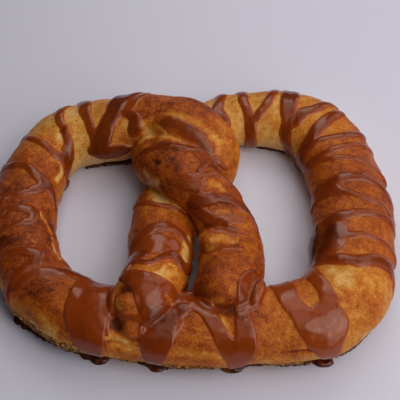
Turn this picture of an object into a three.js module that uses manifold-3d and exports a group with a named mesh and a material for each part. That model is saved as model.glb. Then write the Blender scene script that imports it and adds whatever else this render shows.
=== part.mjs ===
// A soft pretzel with caramel poured over it, in millimetres with +Z up.
// One rope of dough lies in a loop, crosses itself in a full twist at the back, and its two
// ends come forward to rest on the thick front of the loop. The origin is the middle of its
// outline, on the surface it rests on: +X is its right, +Y its back.

import * as THREE from 'three';
import { mergeVertices } from 'three/addons/utils/BufferGeometryUtils.js';
import Module from 'manifold-3d';

// ---- Driving dimensions ------------------------------------------------------------------

// The rope is a little flatter than it is wide, and has settled onto a flat underside.
const flatness = 0.82; // half height of a section, over its half width r
const seat = 0.72; // height of a section's centre on the table, over r

// The loop: where it runs straight along X or Y, with the rope's half width r there.
const belly = { x: 7, y: -52.5, r: 16.4 };
const loops = {
  left: {
    side: { x: -70, y: 4, r: 14.5 },
    back: { x: -35, y: 48.5, r: 15, lift: 2 },
    frontCorner: { r: 14.7, squareness: 2.8 },
    backCorner: { r: 13.7, squareness: 2.4 },
  },
  right: {
    side: { x: 68, y: -1, r: 16.5 },
    back: { x: 32.5, y: 57, r: 13.4, lift: 0 },
    frontCorner: { r: 17.4, squareness: 3.4 },
    backCorner: { r: 15.6, squareness: 2.5 },
  },
};

// The two arms, from the loop's back through the twist to their ends on the belly. Lift is
// how far the rope is carried above the height at which it would lie on the table.
const arms = {
  left: [
    { x: -15.5, y: 47.5, lift: 8.5, r: 13.5 },
    { x: 0, y: 39.5, lift: 14, r: 13 }, // over the right arm
    { x: 9.5, y: 31, lift: 9.5, r: 12.5 },
    { x: 6, y: 21.5, lift: 3, r: 12.2 },
    { x: -4, y: 15, lift: 0, r: 12 }, // back under the right arm
    { x: -10.5, y: 6, lift: 1.5, r: 12.5 },
    { x: -11, y: -8, lift: 2, r: 13.4 },
    { x: -12.5, y: -28, lift: 6.5, r: 13 },
    { x: -17.5, y: -41.5, lift: 13.5, r: 12 },
    { x: -23.5, y: -49.5, lift: 12.5, r: 10.8 },
  ],
  right: [
    { x: 18, y: 57, lift: 0, r: 12.5 },
    { x: 5, y: 48.5, lift: 0.5, r: 12.7 }, // under the left arm
    { x: -10.8, y: 31.5, lift: 4.5, r: 14.5 },
    { x: -0.8, y: 13, lift: 14.5, r: 12.4 }, // over the left arm
    { x: 8.5, y: 4.5, lift: 13, r: 11.3 },
    { x: 15, y: -6.5, lift: 6, r: 12.4 },
    { x: 17, y: -22.5, lift: 6, r: 13 },
    { x: 16.5, y: -33.5, lift: 10.5, r: 12.8 },
    { x: 14, y: -40, lift: 13.5, r: 12.2 },
  ],
};

// Uneven dough: gentle swellings along the rope and round it.
const swelling = { height: 0.45, length: 52, ripple: 0.3, rippleLength: 19 };

// Round lumps where the dough is pinched or folded: the two knobs of the left end, the fold
// across the right leg, and the bead that hangs at the right end's outer side.
const lumps = [
  { x: -24.5, y: -50, z: 24, size: [7.5, 6.5, 7], turn: 0.5 },
  { x: -22.5, y: -57, z: 20.5, size: [4.6, 4.2, 5], turn: 0.2 },
  { x: 13.5, y: -16.5, z: 22.5, size: [10.5, 5.2, 4.4], turn: -0.1 },
  { x: 25, y: -42, z: 22, size: [4.4, 8.5, 6.5], turn: -0.15 },
];

// The caramel, as runs over the dough. Each point of a run is its station along the rope in
// mm, counted from the belly and positive to the right, its angle round the rope in degrees
// from the top, positive to the outside of the loop, and the run's half width in mm.
const caramelDepth = { thin: 0.75, perWidth: 0.24, most: 1.9, root: 1.6 };
const caramel = [
  // left back, each run crossing the rope
  [[-158, 45, 2.6], [-157, 5, 2.3], [-152.5, -45, 2], [-147, -85, 2.2], [-142, -108, 2.6]],
  [[-139.5, 55, 2.2], [-141, 0, 1.8], [-142, -30, 2.6], [-137, -62, 2.4], [-131, -82, 1.6]],
  [[-165.5, 45, 2.4], [-170, -10, 1.9], [-168.5, -45, 1.8], [-163.5, -105, 1.5]],
  [[-187, 40, 3.6], [-179, -8, 3.2], [-174.5, -40, 3], [-169.5, -104, 3.2]],
  [[-181, 2, 1.8], [-188, -10, 2.2], [-193, -28, 2.8], [-194, -50, 2.8]],
  [[-168, -92, 2.5], [-177, -94, 3.2], [-188, -95, 2.2]],
  // left side
  [[-123.5, 75, 2], [-126, 20, 2.2], [-125, -12, 2.2], [-120, -42, 2.4], [-109, -86, 1.6]],
  [[-112, 75, 1.7], [-113.5, 20, 1.7], [-115.5, -18, 1.7], [-118.5, -40, 1.5]],
  [[-105.5, 70, 1.8], [-105.5, 10, 2.2], [-103, -26, 2.3], [-99, -20, 1.7], [-94.5, 50, 1.6]],
  [[-82, 62, 2], [-84.8, 10, 2.1], [-83.5, -26, 2.3], [-79.5, -26, 1.7], [-76.5, -4, 1.6]],
  [[-76.5, -4, 1.6], [-74.5, 25, 2], [-70.5, 55, 2.2], [-67.5, 92, 2.4]],
  [[-73.5, 8, 1.8], [-69, -8, 1.8], [-64, -28, 1.6], [-57, -52, 1.7], [-42, -80, 1.4]],
  // front, with the sheet over the left corner and the two that reach the table
  [[-49.5, -66, 5.6], [-47.5, -20, 6.6], [-45, 20, 6.8], [-43, 55, 6.2], [-42, 112, 3.2]],
  [[-16, -58, 2], [-10, -66, 3], [-4, -62, 2.6]],
  [[-18.5, 18, 2.8], [-17.5, 45, 3.6], [-17.5, 72, 4], [-18, 98, 3.8], [-19, 122, 3]],
  [[-12, -72, 1.8], [-8, -40, 2.4], [-3, -5, 2.2], [1, 22, 2], [5, 42, 1.9], [10, 55, 2.2]],
  [[12, 0, 2.4], [13, 30, 3], [12.5, 58, 3.4], [11.5, 85, 4], [9, 115, 3.6]],
  [[24, -78, 2.6], [27, -48, 3.6], [31.5, -12, 2.6], [36, 20, 1.9], [41, 72, 2.2]],
  [[53, -84, 1.8], [51.5, -50, 2.2], [49.5, -15, 2.6], [44, 14, 5]],
  [[44, 10, 5], [42, 30, 6], [42.5, 55, 3.8], [43, 85, 3], [42.5, 116, 2.6]],
  // right side
  [[58, -84, 2], [63, -62, 2.2], [67, -36, 2.3], [67.8, -8, 2.2], [69, 22, 2.3], [68, 100, 2.4]],
  [[76, -84, 3.4], [78, -60, 5.2], [81.5, -34, 4.4], [84, -12, 2]],
  [[79, -30, 2], [78, -8, 1.6], [78, 22, 1.6], [76.5, 50, 1.6], [73, 78, 2]],
  [[84, -78, 2.2], [86, -45, 2.2], [89.5, -15, 1.8], [91, 15, 1.7], [90, 75, 1.8]],
  [[99.5, -84, 2], [105, -52, 1.8], [102.3, -22, 1.6], [99.8, 8, 1.6], [97.3, 72, 1.8]],
  [[105, -72, 2.6], [110, -48, 2.4], [111, -22, 1.9], [110, 8, 1.8], [108, 72, 1.7]],
  [[120.5, -84, 2.6], [121, -50, 2], [120, -18, 1.6], [118.5, 10, 1.6], [116.5, 72, 1.6]],
  [[127, -84, 2], [129, -48, 1.9], [130.5, -12, 2.2], [131, 20, 2.4], [130.5, 58, 2]],
  // right back
  [[133, -86, 2.4], [138, -52, 3.2], [141, -18, 4], [141.5, 12, 3.4], [142, 40, 2.6]],
  [[163, 42, 2.6], [162.5, 0, 3], [161, -36, 2.6], [159, -64, 2.3], [155.5, -118, 2]],
  [[158, -32, 2.4], [155, -4, 2.2], [152, 18, 2], [150, 45, 1.8]],
  [[183, 42, 1.9], [180.5, -2, 1.9], [178, -40, 2.2], [177.5, -70, 2.2], [179, -112, 2.3]],
  [[169, 45, 1.9], [172, 4, 1.9], [175, -22, 2.2], [177.5, -38, 2.2]],
  [[192, 45, 1.9], [194, 8, 2], [196.5, -22, 2], [199, -45, 1.8]],
  // over the twist
  [[-199, -44, 1.4], [-210, -36, 2], [-217, -24, 2.4], [-225, -14, 2.2]],
  [[234, 36, 1.5], [239, 9, 1.6], [247, -15, 1.8]],
  [[252, -50, 1.5], [256, -40, 2], [259, 0, 1.8], [260, 42, 1.6]],
  [[261, 60, 2.6], [263, 30, 3], [267, -4, 2.8], [270, -38, 2.4]],
  [[268, 54, 1.8], [272, 36, 2], [277, 9, 2]],
  // left leg and its end
  [[-268.5, 88, 1.3], [-271.3, 40, 1.6], [-271.8, 0, 1.6], [-271.3, -82, 1.7]],
  [[-304, -86, 2.4], [-298, -58, 4.2], [-291, -30, 4.4], [-285, -2, 2.8], [-282, 22, 1.5]],
  [[-305.5, -66, 2.2], [-303.5, -20, 1.8], [-303.5, 20, 1.7], [-304, 52, 1.5]],
  [[-316, -84, 3.6], [-317, -40, 5], [-318.5, 0, 5.6], [-319, 40, 5.2], [-318, 80, 4]],
  // right leg and its end
  [[297, 55, 1.8], [296, 30, 2], [297, 0, 2], [297, -30, 1.6]],
];

// ---- The rope's path ---------------------------------------------------------------------

// A smooth curve through all its points.
function smoothCurve(points) {
  return new THREE.CatmullRomCurve3(points, false, 'catmullrom', 0.5);
}

// The same for one number at each point, which is the x of the curve's points.
function smoothValues(values) {
  return smoothCurve(values.map((value) => new THREE.Vector3(value, 0, 0)));
}

// Points strictly between two places of the loop, on a quarter of a superellipse that leaves
// `along` parallel to X and reaches `across` parallel to Y.
function cornerPoints(along, across, squareness, count) {
  const points = [];
  for (let i = 1; i <= count; i++) {
    const angle = (Math.PI / 2) * (i / (count + 1));
    points.push({
      x: along.x + (across.x - along.x) * Math.sin(angle) ** (2 / squareness),
      y: across.y + (along.y - across.y) * Math.cos(angle) ** (2 / squareness),
    });
  }
  return points;
}

const mean = (a, b) => (a.r + b.r) / 2;

const frontCornerPoints = 3;
const backCornerPoints = 2;

// Half of the rope, from just past the belly to the end of its arm.
function halfRope(loop, arm) {
  const { side, back, frontCorner, backCorner } = loop;
  const front = cornerPoints(belly, side, frontCorner.squareness, frontCornerPoints);
  const rear = cornerPoints(back, side, backCorner.squareness, backCornerPoints).reverse();
  return [
    { ...front[0], r: mean(belly, frontCorner) },
    { ...front[1], r: frontCorner.r },
    { ...front[2], r: mean(frontCorner, side) },
    side,
    { ...rear[0], r: backCorner.r },
    { ...rear[1], r: mean(backCorner, back) },
    back,
    ...arm,
  ];
}

const leftHalf = halfRope(loops.left, arms.left).reverse();
const places = [...leftHalf, belly, ...halfRope(loops.right, arms.right)];
const centres = places.map(({ x, y, r, lift = 0 }) => new THREE.Vector3(x, y, seat * r + lift));
const centreline = smoothCurve(centres);
const radiusCurve = smoothValues(places.map(({ r }) => r));

// Stations along the centreline, in mm from the belly.
const samplesPerSpan = 20;
const spans = places.length - 1;
const sampleCount = spans * samplesPerSpan;
const stations = [0];
for (let i = 1; i <= sampleCount; i++) {
  const from = centreline.getPoint((i - 1) / sampleCount);
  const to = centreline.getPoint(i / sampleCount);
  stations.push(stations[i - 1] + from.distanceTo(to));
}
const bellyStation = stations[leftHalf.length * samplesPerSpan];
const ropeStart = -bellyStation;
const ropeEnd = stations[sampleCount] - bellyStation;

// The curve parameter of a station.
function parameterAt(station) {
  const along = THREE.MathUtils.clamp(station + bellyStation, 0, stations[sampleCount]);
  let i = 1;
  while (i < sampleCount && stations[i] < along) i++;
  const part = (along - stations[i - 1]) / (stations[i] - stations[i - 1]);
  return (i - 1 + part) / sampleCount;
}

const vertical = new THREE.Vector3(0, 0, 1);

// The section at a station: its centre, half width, and the directions along the rope,
// across it to the outside, and up.
function sectionAt(station) {
  const t = parameterAt(station);
  const along = centreline.getTangent(t);
  const out = new THREE.Vector3().crossVectors(along, vertical).normalize();
  const up = new THREE.Vector3().crossVectors(out, along);
  return { centre: centreline.getPoint(t), r: radiusCurve.getPoint(t).x, along, out, up };
}

// How far the uneven dough stands out, at a station and an angle round the rope.
function swellingAt(station, angle) {
  const { height, length, ripple, rippleLength } = swelling;
  const turn = 2 * Math.PI * station;
  return height * Math.sin(turn / length + 2 * Math.sin(angle))
    + ripple * Math.sin(turn / rippleLength + 3 * Math.cos(angle));
}

// The point of the dough's surface at a station and an angle, raised by `height`.
function surfacePoint(station, angle, height) {
  const { centre, r, out, up } = sectionAt(station);
  const reach = r + swellingAt(station, angle);
  const normal = out.clone().multiplyScalar(flatness * Math.sin(angle));
  normal.addScaledVector(up, Math.cos(angle)).normalize();
  return centre.clone()
    .addScaledVector(out, reach * Math.sin(angle))
    .addScaledVector(up, reach * flatness * Math.cos(angle))
    .addScaledVector(normal, height);
}

// ---- Closed bodies -----------------------------------------------------------------------

const wasm = await Module();
wasm.setup();

// Keeps only the positions of a geometry and shares its equal vertices.
function weld(geometry) {
  geometry.deleteAttribute('normal');
  geometry.deleteAttribute('uv');
  return mergeVertices(geometry);
}

// Moves every vertex of a geometry to where `place` puts it.
function reshape(geometry, place) {
  const position = geometry.getAttribute('position');
  const vertex = new THREE.Vector3();
  for (let i = 0; i < position.count; i++) {
    const target = place(vertex.fromBufferAttribute(position, i));
    position.setXYZ(i, target.x, target.y, target.z);
  }
  return geometry;
}

function toSolid(geometry) {
  const vertProperties = new Float32Array(geometry.getAttribute('position').array);
  const triVerts = new Uint32Array(geometry.getIndex().array);
  return new wasm.Manifold(new wasm.Mesh({ numProp: 3, vertProperties, triVerts }));
}

// A capsule of unit radius and unit straight length along Y, to be bent to its place.
function unitCapsule(sides, steps, domeRings) {
  return weld(new THREE.CapsuleGeometry(1, 1, domeRings, sides, steps));
}

// Splits a capsule's Y into its place along the straight part, 0 to 1, and how far it lies
// beyond either end, -1 to 1.
function alongCapsule(y) {
  const inside = THREE.MathUtils.clamp(y, -0.5, 0.5);
  return { part: inside + 0.5, beyond: y - inside };
}

const ropeSides = 14;
const domeRings = 3;
const endRoundness = 0.75; // length of a rounded end, over r
const pinch = 0.85; // at a tight bend the inner side stops short of the centre of the bend
const bendReach = 2; // mm either way along the rope in which a bend is measured
const straight = 1e-6; // 1 / mm, the least bend

// The bend of the centreline at a station: a vector towards its centre, 1 / radius long.
function bendAt(station) {
  const before = sectionAt(station - bendReach).along;
  const after = sectionAt(station + bendReach).along;
  return after.sub(before).divideScalar(2 * bendReach);
}

// A stretch of rope between two stations, with rounded ends and a section every `step` mm.
function ropeStretch(from, to, step) {
  const steps = Math.round((to - from) / step);
  const geometry = unitCapsule(ropeSides, steps, domeRings);
  return toSolid(reshape(geometry, ({ x, y, z }) => {
    const { part, beyond } = alongCapsule(y);
    const station = from + part * (to - from);
    const { centre, r, along, out, up } = sectionAt(station);
    const reach = r + swellingAt(station, Math.atan2(x, z));
    const offset = out.multiplyScalar(reach * x).addScaledVector(up, reach * flatness * z);
    const bend = bendAt(station);
    const sharpness = bend.length();
    bend.normalize();
    const excess = offset.dot(bend) - pinch / Math.max(sharpness, straight);
    if (excess > 0) offset.addScaledVector(bend, -excess);
    return centre.add(offset).addScaledVector(along, beyond * r * endRoundness);
  }));
}

const lumpSides = 12;
const lumpRings = 8;

function lump({ x, y, z, size, turn }) {
  const geometry = weld(new THREE.SphereGeometry(1, lumpSides, lumpRings));
  geometry.scale(...size).rotateZ(turn).translate(x, y, z);
  return toSolid(geometry);
}

const caramelStep = 9;
const caramelSides = 6;
const caramelDomeRings = 1;
const fewestSteps = 2;

// A run of caramel: a low ridge with rounded edges that follows the dough's surface.
function caramelRun(run) {
  const radians = THREE.MathUtils.degToRad;
  const path = smoothCurve(
    run.map(([station, angle]) => new THREE.Vector3(station, radians(angle), 0)));
  const widths = smoothValues(run.map(([, , width]) => width));
  const bends = run.map(([station, angle]) => surfacePoint(station, radians(angle), 0));
  const gaps = bends.slice(1).map((bend, i) => bend.distanceTo(bends[i]));
  const length = gaps.reduce((sum, gap) => sum + gap);
  const steps = Math.max(fewestSteps, Math.round(length / caramelStep));
  const capsule = unitCapsule(caramelSides, steps, caramelDomeRings);
  const { thin, perWidth, most, root } = caramelDepth;
  return toSolid(reshape(capsule, ({ x, y, z }) => {
    const { part, beyond } = alongCapsule(y);
    const middle = path.getPoint(part);
    const heading = path.getTangent(part);
    const { r } = sectionAt(middle.x);
    const aheadStation = heading.x;
    const aheadArc = heading.y * r;
    const pace = Math.hypot(aheadStation, aheadArc);
    const width = widths.getPoint(part).x;
    const forward = (beyond * width) / pace;
    const sideways = (x * width) / pace;
    const station = middle.x + aheadStation * forward - aheadArc * sideways;
    const angle = middle.y + (aheadArc * forward + aheadStation * sideways) / r;
    const depth = Math.min(most, thin + perWidth * width);
    return surfacePoint(station, angle, z > 0 ? z * depth : z * root);
  }));
}

// ---- The pretzel -------------------------------------------------------------------------

// The loop and the two arms overlap where the rope runs on from one to the other.
const loopReach = 186;
const armStart = 172;
const loopStep = 8;
const armStep = 5.5;
const stretches = [
  ropeStretch(-loopReach, loopReach, loopStep),
  ropeStretch(ropeStart, -armStart, armStep),
  ropeStretch(armStart, ropeEnd, armStep),
];

const pieces = [...stretches, ...lumps.map(lump), ...caramel.map(caramelRun)];
const fused = pieces.reduce((whole, piece) => whole.add(piece));

// What lies below the table top is cut away, which leaves the flat underside.
const table = { width: 400, thickness: 60 };
const tableTop = new THREE.BoxGeometry(table.width, table.width, table.thickness);
tableTop.translate(0, 0, -table.thickness / 2);
const resting = fused.subtract(toSolid(weld(tableTop)));

// Hollows sealed inside the twist and loose crumbs are dropped: the largest body is kept.
const bodies = resting.decompose().sort((a, b) => b.volume() - a.volume());
const { vertProperties, triVerts } = bodies[0].getMesh();

const shape = new THREE.BufferGeometry();
shape.setAttribute('position', new THREE.BufferAttribute(vertProperties, 3));
shape.setIndex(new THREE.BufferAttribute(triVerts, 1));
shape.computeVertexNormals();

const crust = new THREE.MeshStandardMaterial({ color: '#a8622c', roughness: 0.42, metalness: 0 });
const pretzel = new THREE.Mesh(shape, crust);
pretzel.name = 'pretzel';

const softPretzel = new THREE.Group();
softPretzel.add(pretzel);

export default softPretzel;
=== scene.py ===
"""A soft pretzel with caramel poured over it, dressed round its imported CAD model.

The dough is one rope, swept along the same path as the CAD solid, with the same named sizes.
The caramel lies on the finished dough: every run is a path on the rope's surface, and the sauce
stands over the dough by a rounded profile round that path. Sizes are in millimetres until a
mesh is written.
"""
import math
import random

import bpy
import numpy as np
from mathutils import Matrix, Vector, noise
from mathutils.bvhtree import BVHTree
from mathutils.kdtree import KDTree


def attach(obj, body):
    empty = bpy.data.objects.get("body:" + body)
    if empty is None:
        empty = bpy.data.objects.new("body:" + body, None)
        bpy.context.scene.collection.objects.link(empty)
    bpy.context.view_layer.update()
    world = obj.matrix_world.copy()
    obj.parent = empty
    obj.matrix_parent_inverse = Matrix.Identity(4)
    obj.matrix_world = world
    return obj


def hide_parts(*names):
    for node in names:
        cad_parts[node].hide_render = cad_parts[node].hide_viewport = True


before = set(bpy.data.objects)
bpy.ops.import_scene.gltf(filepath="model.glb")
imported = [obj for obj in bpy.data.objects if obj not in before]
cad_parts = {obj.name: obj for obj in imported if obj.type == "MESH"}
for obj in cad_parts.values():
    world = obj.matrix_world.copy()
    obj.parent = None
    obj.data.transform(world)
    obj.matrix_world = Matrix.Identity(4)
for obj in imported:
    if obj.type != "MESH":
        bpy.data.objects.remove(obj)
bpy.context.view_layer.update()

MM = 0.001

# ---- Camera ----

CAMERA_ELEVATION = 54  # degrees above the horizon, looking along +Y
CAMERA_DISTANCE = 444
CAMERA_NEAR = 10
CAMERA_TARGET = Vector((4.4, 10.2, 12))
CAMERA_LENS = 94.3
CAMERA_SENSOR = 36


def add_camera():
    tilt = math.radians(CAMERA_ELEVATION)
    back = Vector((0, -math.cos(tilt), math.sin(tilt)))
    place = (CAMERA_TARGET + back * CAMERA_DISTANCE) * MM
    bpy.ops.object.camera_add(location=place, rotation=(math.pi / 2 - tilt, 0, 0))
    camera = bpy.context.object
    camera.data.lens = CAMERA_LENS
    camera.data.sensor_width = CAMERA_SENSOR
    camera.data.clip_start = CAMERA_NEAR * MM
    bpy.context.scene.camera = camera


add_camera()

# ---- The rope's driving sizes: the CAD source's, slimmer at the front for relief and sauce ----

FLATNESS = 0.82  # half height of a section, over its half width r
SEAT = 0.72  # height of a section's centre on the table, over r

BELLY = dict(x=7, y=-51.6, r=15.5)
LEFT_LOOP = dict(
    side=dict(x=-70, y=4, r=14.5),
    back=dict(x=-35, y=48.5, r=15, lift=2),
    front_corner=dict(r=14.1, squareness=2.65),
    back_corner=dict(r=13.7, squareness=2.4),
)
RIGHT_LOOP = dict(
    side=dict(x=68, y=-1, r=16.5),
    back=dict(x=32.5, y=57, r=13.4, lift=0),
    front_corner=dict(r=17.4, squareness=3.4),
    back_corner=dict(r=15.6, squareness=2.5),
)
# Each arm from the loop's back through the twist to its end on the belly: x, y, lift, r.
LEFT_ARM = [
    (-15.5, 47.5, 8.5, 13.5), (0, 39.5, 14, 13), (9.5, 31, 9.5, 12.5), (6, 21.5, 3, 12.2),
    (-4, 15, 0, 12), (-10.5, 6, 1.5, 12.5), (-11, -8, 2, 13.4), (-12.5, -28, 6.5, 13),
    (-17, -41, 13.5, 11.8), (-21.2, -48, 12.6, 10.6),
]
RIGHT_ARM = [
    (18, 57, 0, 12.5), (5, 48.5, 0.5, 12.7), (-10.8, 31.5, 4.5, 14.5), (-0.8, 13, 14.5, 12.4),
    (8.5, 4.5, 13, 11.3), (15, -6.5, 6, 12.4), (17, -22.5, 6, 13), (16.5, -33.5, 10.5, 12.8),
    (14, -40, 13.5, 12.2),
]
SWELLING = dict(height=0.45, length=52, ripple=0.3, ripple_length=19)

# Round lumps: the left end's two knobs, the fold over the right leg, the bulge of the lump at
# the twist, the bead at the right end.
LUMPS = [
    dict(at=(-21.8, -47.8, 24.3), size=(7.2, 6.2, 6.2), turn=0.3),
    dict(at=(-20.8, -55.4, 20), size=(5.6, 5, 4.8), turn=0.2),
    dict(at=(14, -16.5, 21.8), size=(10.5, 6.2, 4.2), turn=-0.1),
    dict(at=(-6.8, 28.2, 21.5), size=(12, 8.2, 8.5), turn=-0.2),
    dict(at=(26, -43, 22.5), size=(3.6, 7, 5.6), turn=-0.3),
]

# ---- The rope's path ----


def smooth_path(rows, per_span):
    """A smooth curve through every row, with per_span samples between two rows."""
    rows = np.asarray(rows, float)
    before = np.vstack([2 * rows[0] - rows[1], rows[:-2]])
    after = np.vstack([rows[2:], 2 * rows[-1] - rows[-2]])
    t = (np.arange(per_span) / per_span)[:, None]
    curve = []
    for p0, p1, p2, p3 in zip(before, rows[:-1], rows[1:], after):
        cubic = -p0 + 3 * p1 - 3 * p2 + p3
        square = 2 * p0 - 5 * p1 + 4 * p2 - p3
        curve.append(0.5 * (2 * p1 + (p2 - p0) * t + square * t ** 2 + cubic * t ** 3))
    return np.vstack([*curve, rows[-1:]])


def corner_points(along, across, squareness, count):
    """Places strictly between two straight stretches, on a quarter of a superellipse."""
    for i in range(1, count + 1):
        angle = math.pi / 2 * i / (count + 1)
        x = along["x"] + (across["x"] - along["x"]) * math.sin(angle) ** (2 / squareness)
        y = across["y"] + (along["y"] - across["y"]) * math.cos(angle) ** (2 / squareness)
        yield x, y


def half_rope(loop, arm):
    """Places x, y, lift, r from just past the belly to the end of an arm."""
    side, back = loop["side"], loop["back"]
    front_corner, back_corner = loop["front_corner"], loop["back_corner"]
    front = list(corner_points(BELLY, side, front_corner["squareness"], 3))
    rear = list(corner_points(back, side, back_corner["squareness"], 2))[::-1]
    return [
        (*front[0], 0, (BELLY["r"] + front_corner["r"]) / 2),
        (*front[1], 0, front_corner["r"]),
        (*front[2], 0, (front_corner["r"] + side["r"]) / 2),
        (side["x"], side["y"], 0, side["r"]),
        (*rear[0], 0, back_corner["r"]),
        (*rear[1], 0, (back_corner["r"] + back["r"]) / 2),
        (back["x"], back["y"], back["lift"], back["r"]),
        *arm,
    ]


def unit(vectors):
    return vectors / np.linalg.norm(vectors, axis=-1, keepdims=True)


class Rope:
    """The rope's sections, looked up by station: mm along it from the belly, right positive."""

    SAMPLES = 40

    def __init__(self):
        left = half_rope(LEFT_LOOP, LEFT_ARM)[::-1]
        belly = (BELLY["x"], BELLY["y"], 0, BELLY["r"])
        places = [*left, belly, *half_rope(RIGHT_LOOP, RIGHT_ARM)]
        rows = [(x, y, SEAT * r + lift, r) for x, y, lift, r in places]
        curve = smooth_path(rows, self.SAMPLES)
        steps = np.linalg.norm(np.diff(curve[:, :3], axis=0), axis=1)
        station = np.concatenate([[0], np.cumsum(steps)])
        self.station = station - station[len(left) * self.SAMPLES]
        self.start, self.end = self.station[0], self.station[-1]
        self.centre, self.r = curve[:, :3], curve[:, 3]
        self.along = unit(np.gradient(self.centre, self.station, axis=0))
        self.out = unit(np.cross(self.along, (0, 0, 1)))
        self.up = np.cross(self.out, self.along)
        self.bend = np.gradient(self.along, self.station, axis=0)

    def look_up(self, table, station):
        if table.ndim == 1:
            return np.interp(station, self.station, table)
        columns = [np.interp(station, self.station, column) for column in table.T]
        return np.stack(columns, axis=-1)

    def surface(self, station, angle, beyond=0):
        """Points of the dough before its relief; beyond is a distance past a rounded end."""
        sine, cosine = np.sin(angle)[..., None], np.cos(angle)[..., None]
        reach = (self.look_up(self.r, station) + swelling_at(station, angle))[..., None]
        out = self.look_up(self.out, station) * sine
        up = self.look_up(self.up, station) * cosine * FLATNESS
        return self.look_up(self.centre, station) + reach * (out + up)


def swelling_at(station, angle):
    turn = 2 * math.pi * station
    broad = np.sin(turn / SWELLING["length"] + 2 * np.sin(angle))
    ripple = np.sin(turn / SWELLING["ripple_length"] + 3 * np.cos(angle))
    return SWELLING["height"] * broad + SWELLING["ripple"] * ripple


rope = Rope()

# ---- Small helpers ----


def deselect_all():
    if bpy.context.object and bpy.context.object.mode != "OBJECT":
        bpy.ops.object.mode_set(mode="OBJECT")
    bpy.ops.object.select_all(action="DESELECT")


def pick(thing):
    """Makes one object the only selected and the active one."""
    deselect_all()
    thing.select_set(True)
    bpy.context.view_layer.objects.active = thing


def read_vectors(thing, name):
    flat = np.empty(len(thing.data.vertices) * 3, np.float32)
    thing.data.vertices.foreach_get(name, flat)
    return flat.reshape(-1, 3).astype(float)


def get_points(thing):
    return read_vectors(thing, "co") / MM


def get_normals(thing):
    return read_vectors(thing, "normal")


def set_points(thing, points):
    thing.data.vertices.foreach_set("co", (points * MM).astype(np.float32).ravel())
    thing.data.update()


def rest_on_table(thing, points):
    """Sets an object's points, none of them below the table."""
    points[:, 2] = np.maximum(points[:, 2], 0)
    set_points(thing, points)


def get_attribute(thing, name):
    values = np.empty(len(thing.data.vertices), np.float32)
    thing.data.attributes[name].data.foreach_get("value", values)
    return values


def set_attribute(thing, name, values):
    attribute = thing.data.attributes.new(name, "FLOAT", "POINT")
    attribute.data.foreach_set("value", np.asarray(values, np.float32))


def apply_modifier(thing, kind, **settings):
    pick(thing)
    modifier = thing.modifiers.new(kind.lower(), kind)
    for name, value in settings.items():
        setattr(modifier, name, value)
    bpy.ops.object.modifier_apply(modifier=modifier.name)


def join(things, name):
    pick(things[0])
    for thing in things[1:]:
        thing.select_set(True)
    bpy.ops.object.join()
    joined = bpy.context.object
    joined.name = joined.data.name = name
    return joined


def shade_smooth(thing):
    pick(thing)
    bpy.ops.object.shade_smooth()


def remesh(thing, grid, rounds):
    """Makes an object one closed skin on a grid in mm, smoothed by some rounds."""
    apply_modifier(thing, "REMESH", mode="VOXEL", voxel_size=grid * MM)
    apply_modifier(thing, "SMOOTH", factor=0.5, iterations=rounds)


def shape_ball(thing, at, size, turn):
    """Stretches a ball of radius 1, turns it about the vertical and puts it at its place."""
    ball = get_points(thing) * MM * np.array(size)
    cosine, sine = math.cos(turn), math.sin(turn)
    x = ball[:, 0] * cosine - ball[:, 1] * sine
    y = ball[:, 0] * sine + ball[:, 1] * cosine
    set_points(thing, np.stack([x, y, ball[:, 2]], axis=1) + np.array(at))


def tree_of(points):
    tree = KDTree(len(points))
    for i, point in enumerate(points):
        tree.insert(point, i)
    tree.balance()
    return tree


def nearest_in(tree, points):
    """The number of the tree's point that is nearest to each point."""
    return np.array([tree.find(point)[1] for point in points])


def grain(points, size, seed, octaves=2):
    """Smooth random values of about -1 to 1 over points in mm, with features of a size."""
    shift = Vector((17.1, 7.3, 29.7)) * seed
    scaled = points / size
    return np.array([noise.fractal(Vector(p) + shift, 1, 2, octaves) for p in scaled])


CELL_REACH = 0.6  # how far a cell rises round its middle, over the cells' size


def cobbles(points, size, seed):
    """0 between round cells of a size and 1 in their middles."""
    shift = Vector((5.3, 41.9, 11.7)) * seed
    scaled = points / size
    nearest = np.array([noise.voronoi(Vector(p) + shift)[0][0] for p in scaled])
    return np.clip(1 - nearest / CELL_REACH, 0, 1)


def smooth_step(low, high, values):
    part = np.clip((values - low) / (high - low), 0, 1)
    return part * part * (3 - 2 * part)


# ---- The dough's body ----

ROPE_SIDES = 100
ROPE_RINGS = 900
END_RINGS = 14  # rings in each rounded end
END_ROUNDNESS = 0.75  # length of a rounded end, over r
PINCH = 0.85  # at a tight bend the inner side stops short of the centre of the bend
LUMP_SIDES, LUMP_RINGS = 40, 24
DOUGH_GRID = 0.83


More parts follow.
